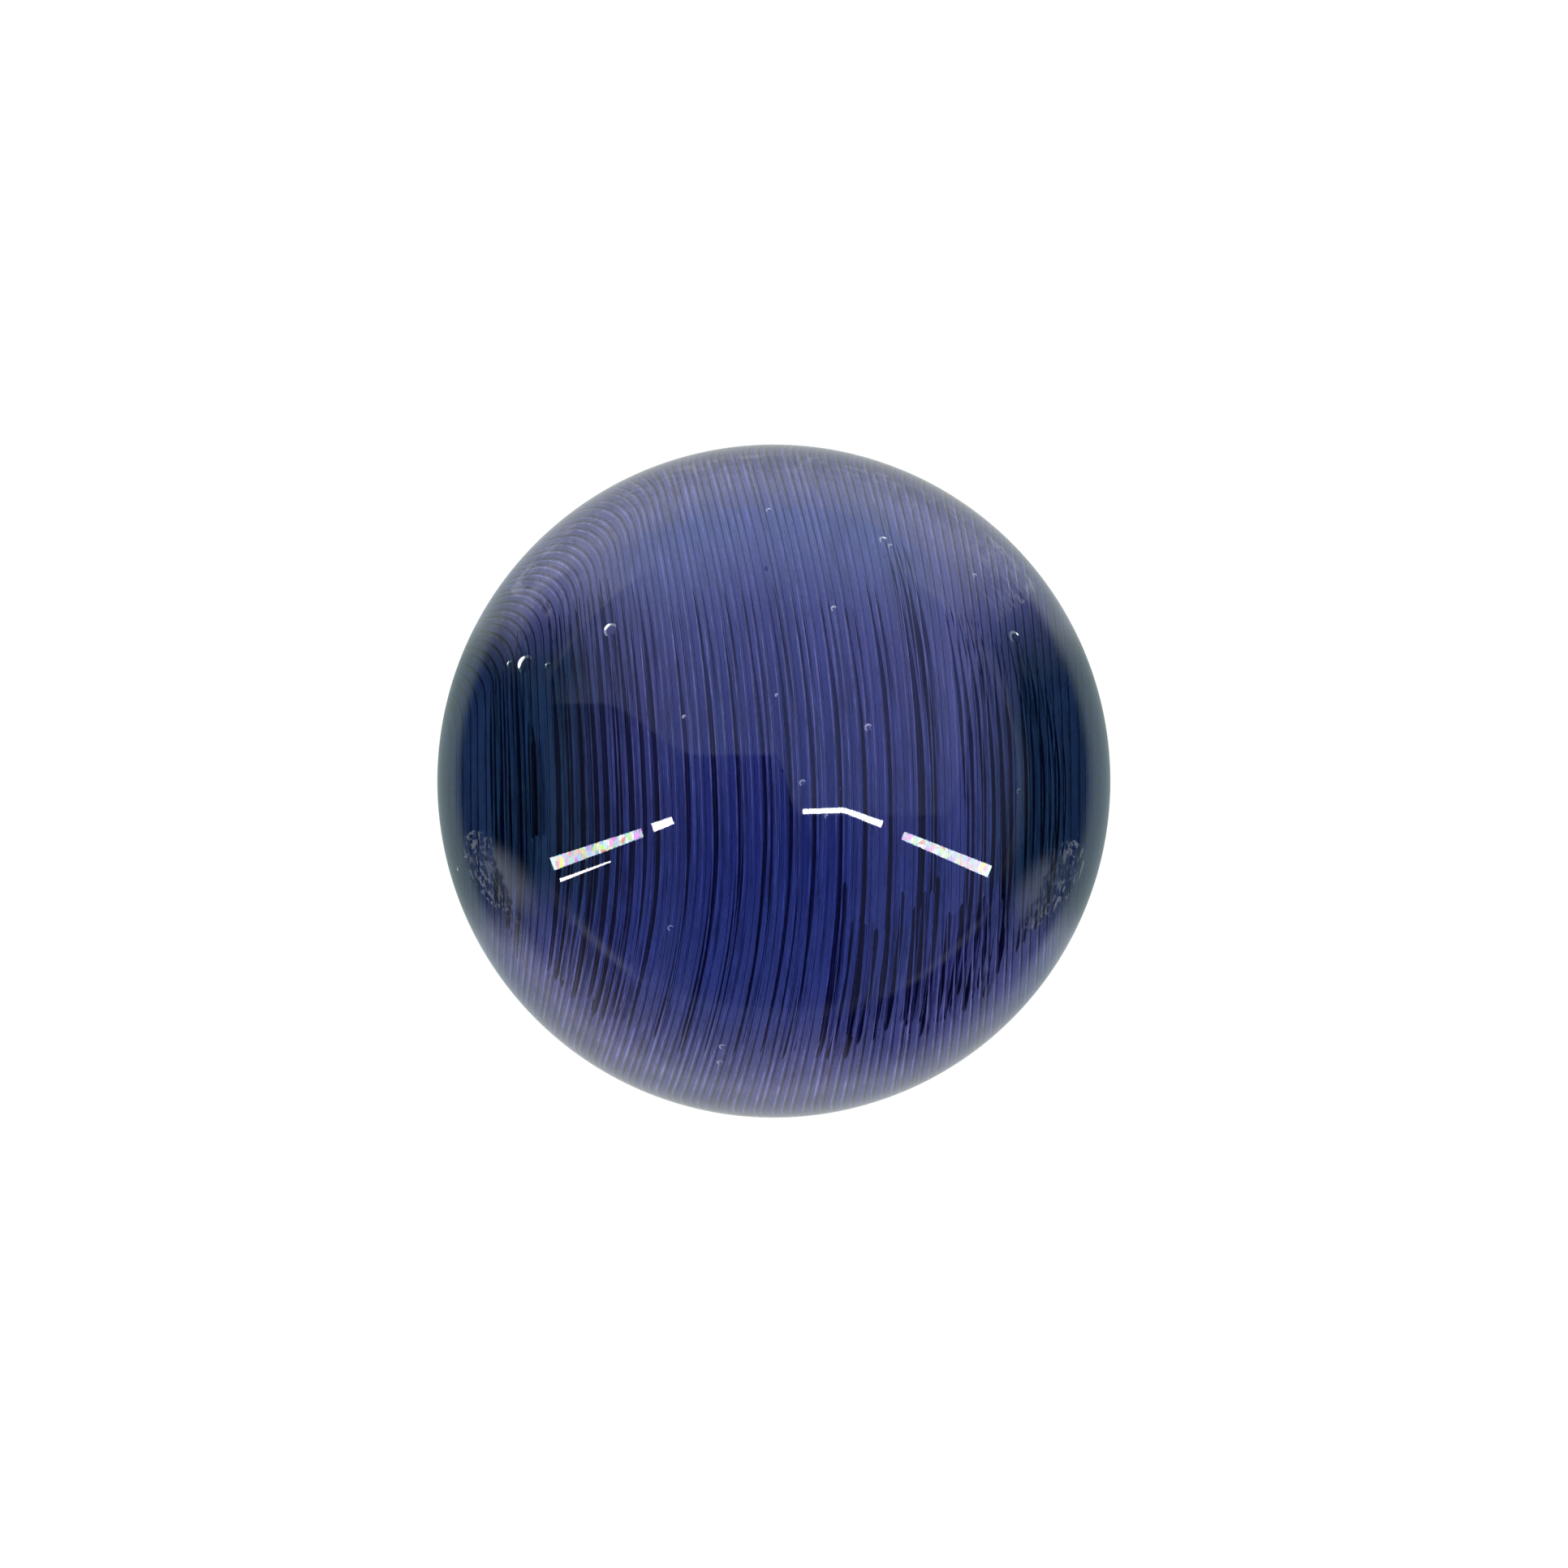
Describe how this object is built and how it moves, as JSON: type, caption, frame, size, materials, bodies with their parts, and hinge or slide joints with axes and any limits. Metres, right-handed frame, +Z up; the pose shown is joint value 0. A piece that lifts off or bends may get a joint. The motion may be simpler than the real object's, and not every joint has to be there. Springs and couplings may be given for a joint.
{
  "type": "cue ball",
  "caption": "Solid translucent resin cue ball, deep blue violet, polished all over, with fine cast-in threads and small bubbles.",
  "frame": {"origin": "centre of the ball", "axes": "+Z up, away from the table it lies on; Y along the threads in the resin; X across them"},
  "size_m": [0.0572, 0.0572, 0.0572],
  "materials": {
    "ball_resin": "polished"
  },
  "bodies": {
    "root": {"ball": "ball_resin"}
  },
  "joints": []
}
